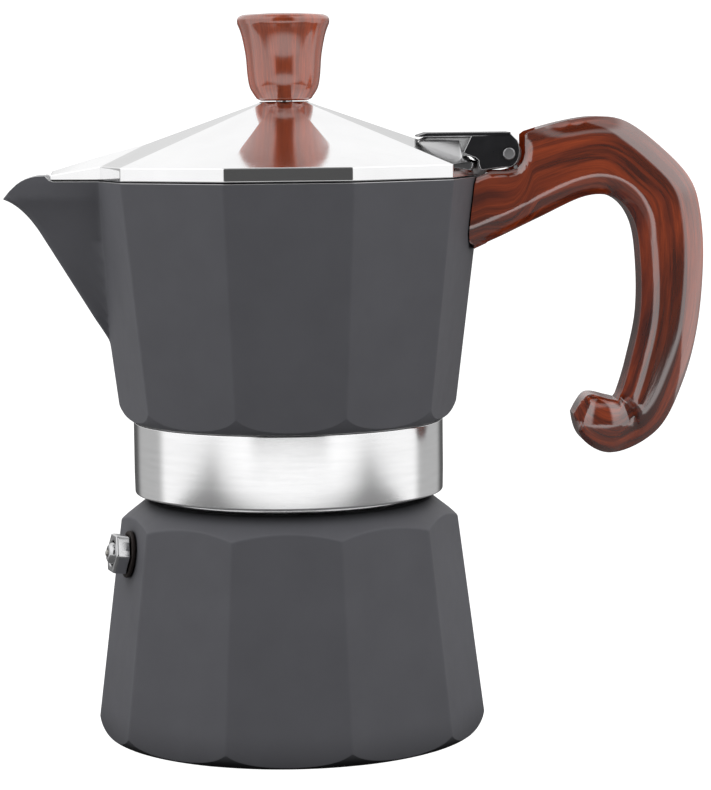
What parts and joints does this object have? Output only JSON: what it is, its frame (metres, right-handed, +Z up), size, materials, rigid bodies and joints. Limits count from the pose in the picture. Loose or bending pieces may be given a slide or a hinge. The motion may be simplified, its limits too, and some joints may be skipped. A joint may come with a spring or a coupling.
{
  "type": "moka pot",
  "caption": "Ten-sided stovetop moka pot: boiler with safety valve, funnel and filter, screw-on collector with spout, hooked handle and hinged lid with knob.",
  "frame": {"origin": "centre of the boiler's flat base, on the surface that the pot stands on", "axes": "+Z up, -X towards the spout, +X towards the handle, -Y towards the viewer who sees the spout on the left"},
  "size_m": [0.1643, 0.0888, 0.17],
  "materials": {
    "grey_paint": "satin dark grey enamel",
    "polished_aluminium": "polished",
    "plain_aluminium": "plain satin",
    "wood_print": "gloss, red-brown wood print",
    "black_paint": "gloss black",
    "plated_steel": "nickel plated",
    "spring_steel": "plain steel",
    "brass": "plain",
    "silicone": "matt off-white",
    "fibre": "matt brown-red"
  },
  "bodies": {
    "boiler": {"boiler": "grey_paint", "valve_body": "plated_steel", "valve_washer": "fibre", "valve_spring": "spring_steel", "valve_cap": "plated_steel"},
    "valve_pin": {"valve_pin": "brass"},
    "funnel": {"funnel": "plain_aluminium", "funnel_strainer": "plain_aluminium"},
    "gasket": {"gasket": "silicone"},
    "filter": {"filter_plate": "plain_aluminium"},
    "collector": {"collector": "grey_paint", "collar_band": "polished_aluminium", "coffee_column": "plain_aluminium", "handle": "wood_print", "handle_screw": "spring_steel", "hinge_pin": "spring_steel"},
    "lid": {"lid": "polished_aluminium", "hinge_bracket": "black_paint", "bracket_rivet_1": "spring_steel", "bracket_rivet_2": "spring_steel", "knob": "wood_print", "knob_washer": "spring_steel", "knob_screw": "spring_steel"}
  },
  "joints": [
    {"name": "valve_lift", "type": "slide", "parent": "boiler", "child": "valve_pin", "axis": [-0.9543, -0.2736, 0.1203], "range_m": [0, 0.0012], "stiffness_N_per_m": 1200, "springref_m": -0.001, "deforming": ["valve_spring"]},
    {"name": "funnel_lift", "type": "slide", "parent": "boiler", "child": "funnel", "axis": [0, 0, 1], "range_m": [0, 0.07]},
    {"name": "collector_lift", "type": "slide", "parent": "funnel", "child": "gasket", "axis": [0, 0, 1], "range_m": [0, 0.06]},
    {"name": "thread_rise", "type": "slide", "parent": "gasket", "child": "filter", "axis": [0, 0, 1], "range_m": [0, 0.0053]},
    {"name": "collector_turn", "type": "hinge", "parent": "filter", "child": "collector", "pos_m": [0, 0, 0.066], "axis": [0, 0, 1], "range_deg": [0, 630]},
    {"name": "lid_hinge", "type": "hinge", "parent": "collector", "child": "lid", "pos_m": [0.0522, 0, 0.1368], "axis": [0, 1, 0], "range_deg": [0, 100]}
  ],
  "couplings": [
    {"joint": "thread_rise", "follows": "collector_turn", "m_per_rad": 0.00047746}
  ]
}
